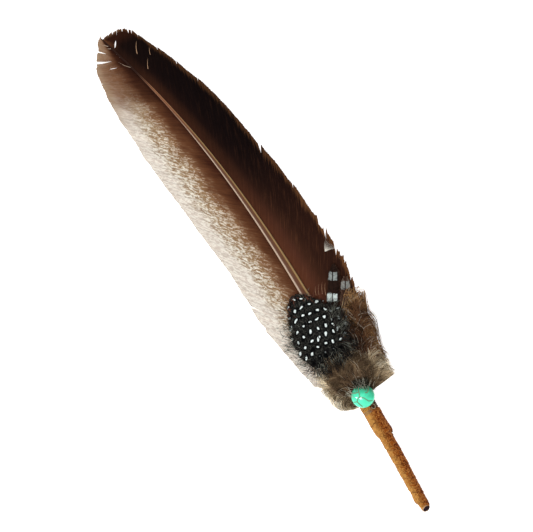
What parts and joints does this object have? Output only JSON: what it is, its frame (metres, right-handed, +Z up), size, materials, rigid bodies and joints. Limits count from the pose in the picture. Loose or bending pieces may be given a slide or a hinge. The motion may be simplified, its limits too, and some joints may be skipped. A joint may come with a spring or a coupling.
{
  "type": "feather quill pen",
  "caption": "Decorated feather quill pen: a large wing feather with small plumes and a stone at its base, and a suede-wrapped handle that holds a slim ballpoint refill.",
  "frame": {"origin": "on the surface the pen lies on, under the middle of its bounding box", "axes": "+X along the straight handle to the writing point, +Y towards the dark vane, +Z up from the table, out of the grooved face of the feather"},
  "size_m": [0.3054, 0.067, 0.014],
  "materials": {
    "shaft": "dry horn, satin on the ridges",
    "cream_barbs": "soft barbs, brown at the shaft to cream at the edge",
    "dark_barbs": "soft barbs with a low sheen",
    "down": "loose fluff with pale tips",
    "brown_barbs": "curly barbs with pale streaks",
    "barred_barbs": "dark barbs with white bars",
    "spotted_barbs": "black barbs with white spots",
    "thread": "waxed thread",
    "suede": "napped suede",
    "suede_dark": "napped suede, darker",
    "turquoise": "polished, with brown veins",
    "bush_wood": "stained dark",
    "pith": "dry pith",
    "steel": "drawn tube",
    "brass": "turned",
    "ink": "wet paste"
  },
  "bodies": {
    "pen": {"feather_shaft": "shaft", "vane_cream": "cream_barbs", "vane_dark": "dark_barbs", "down_back": "down", "down_left": "down", "down_right": "down", "down_front": "down", "brown_plume": "brown_barbs", "barred_side_plume": "barred_barbs", "barred_plume": "barred_barbs", "spotted_side_plume": "spotted_barbs", "spotted_plume": "spotted_barbs", "binding_thread": "thread", "cabochon_pad": "suede_dark", "turquoise_cabochon": "turquoise", "suede_wrap": "suede", "suede_overwrap": "suede", "wrap_tuck": "suede_dark", "mouth_bush": "bush_wood", "pith_plug": "pith"},
    "refill": {"refill_tube": "steel", "ink_column": "ink", "refill_tip": "brass", "writing_ball": "steel"}
  },
  "joints": [
    {"name": "refill_slide", "type": "slide", "parent": "pen", "child": "refill", "axis": [1, 0, 0], "range_m": [0, 0.068]}
  ]
}
